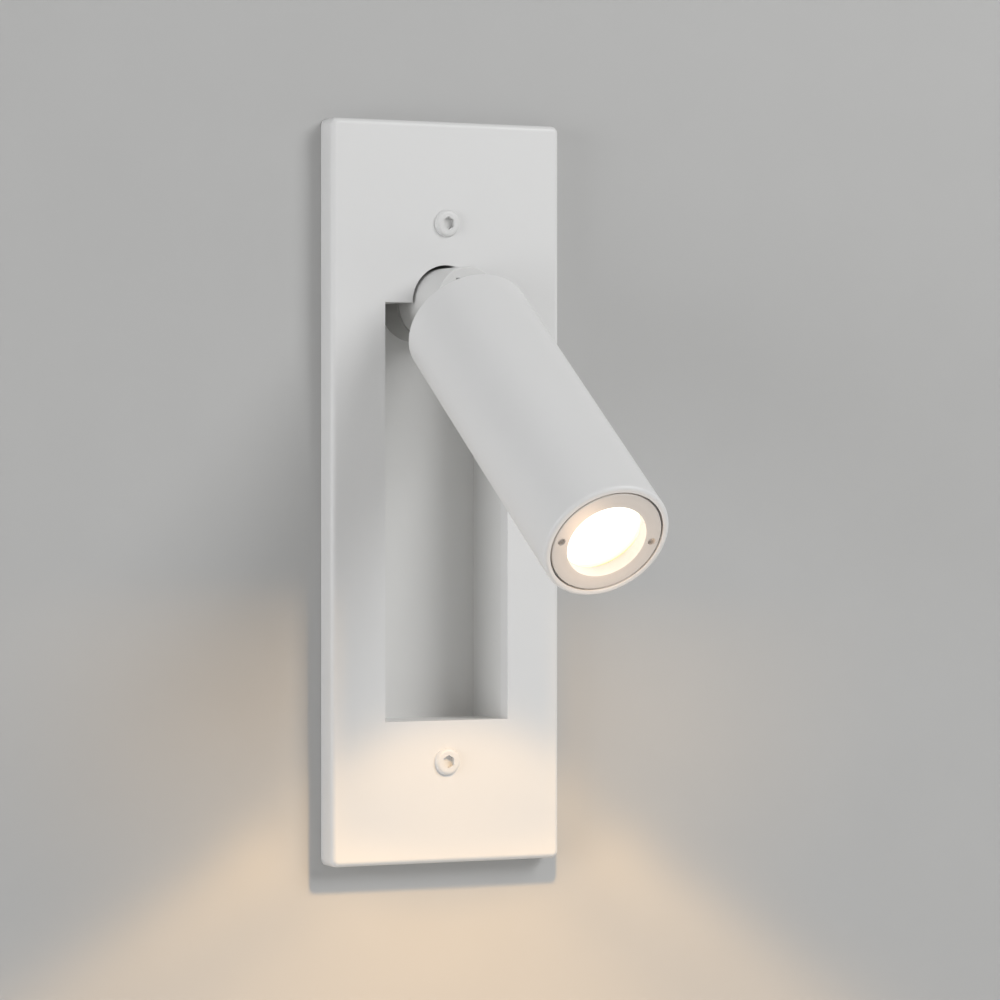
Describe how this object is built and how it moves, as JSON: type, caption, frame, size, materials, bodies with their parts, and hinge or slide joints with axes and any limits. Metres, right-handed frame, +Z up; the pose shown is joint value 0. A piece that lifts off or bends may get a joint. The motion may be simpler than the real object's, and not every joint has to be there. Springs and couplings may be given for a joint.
{
  "type": "recessed bedside reading light",
  "caption": "Tall rectangular wall plate with a recess and a tilting cylindrical spot head that folds down into it, on a box set in the wall.",
  "frame": {"origin": "middle of the face plate's back, on the plane of the wall", "axes": "+X to the right as seen from the room, +Y into the wall, +Z up"},
  "size_m": [0.065, 0.1466, 0.19],
  "materials": {
    "white_paint": "satin white powder coat",
    "white_screws": "satin white paint",
    "bezel_alloy": "satin warm grey anodised",
    "bare_alloy": "plain machined",
    "zinc_steel": "zinc plated",
    "box_steel": "white primer",
    "brass": "turned",
    "glass": "clear",
    "lens_acrylic": "clear moulded acrylic",
    "holder_plastic": "moulded white",
    "driver_plastic": "moulded light grey",
    "terminal_plastic": "moulded cream",
    "washer_plastic": "low-friction plastic",
    "black_rubber": "matt",
    "clear_silicone": "translucent",
    "grey_pad": "matt",
    "led_phosphor": "phosphor coat"
  },
  "bodies": {
    "housing": {"front_plate": "white_paint", "recess_tray": "white_paint", "tray_screws": "zinc_steel", "plate_screws": "white_screws", "back_box": "box_steel", "lug_inserts": "brass", "cable_grommet": "black_rubber", "driver_case": "driver_plastic", "driver_lid": "driver_plastic", "driver_screws": "zinc_steel", "terminal_block": "terminal_plastic", "terminal_screws": "brass", "earth_screw": "brass", "stem": "white_paint", "stem_collar": "white_paint", "locating_pin": "zinc_steel", "stem_washer": "zinc_steel", "stem_nut": "zinc_steel", "pivot_screw": "white_screws", "friction_washers": "washer_plastic"},
    "head": {"head_tube": "white_paint", "rear_cap": "white_paint", "lead_bush": "black_rubber", "heat_sink": "bare_alloy", "thermal_pad": "grey_pad", "led_board": "bare_alloy", "led_chip": "led_phosphor", "board_screws": "zinc_steel", "lens_holder": "holder_plastic", "optic_lens": "lens_acrylic", "lens_seal": "clear_silicone", "cover_glass": "glass", "bezel_ring": "bezel_alloy"}
  },
  "joints": [
    {"name": "head_tilt", "type": "hinge", "parent": "housing", "child": "head", "pos_m": [0, -0.0098, 0.0485], "axis": [-1, 0, 0], "range_deg": [-54, 36]}
  ]
}
